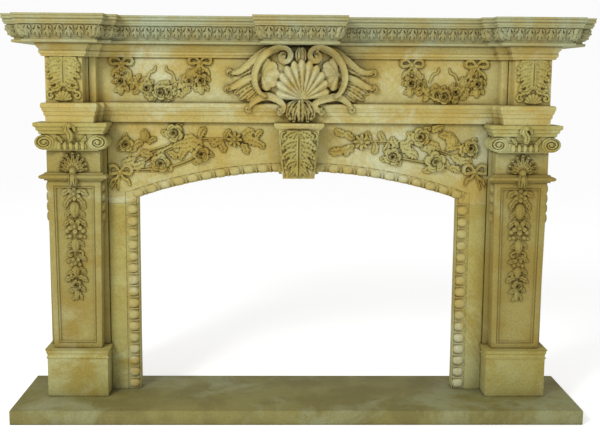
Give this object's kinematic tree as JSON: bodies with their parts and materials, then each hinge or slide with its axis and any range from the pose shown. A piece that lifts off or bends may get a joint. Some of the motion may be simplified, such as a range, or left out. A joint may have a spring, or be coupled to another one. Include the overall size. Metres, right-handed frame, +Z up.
{
  "type": "fireplace mantel",
  "caption": "Carved stone fireplace mantel with an arched opening, tapered pilasters, a garlanded frieze, a stepped shelf and a hearth slab.",
  "frame": {"origin": "under the middle of the mantel's box, on the floor", "axes": "+Z up, the mantel faces -Y, +X to the right seen from the front"},
  "size_m": [1.948, 0.4, 1.3576],
  "materials": {
    "carved_stone": "worn matte limestone, honey yellow with brown grime in the carving",
    "hearth_stone": "worn matte limestone, darker olive"
  },
  "bodies": {
    "root": {"hearth_slab": "hearth_stone", "left_plinth": "carved_stone", "right_plinth": "carved_stone", "left_shaft": "carved_stone", "right_shaft": "carved_stone", "left_capital": "carved_stone", "right_capital": "carved_stone", "left_jamb_slip": "carved_stone", "right_jamb_slip": "carved_stone", "arch_header": "carved_stone", "keystone": "carved_stone", "frieze": "carved_stone", "mantel_shelf": "carved_stone"}
  },
  "joints": []
}
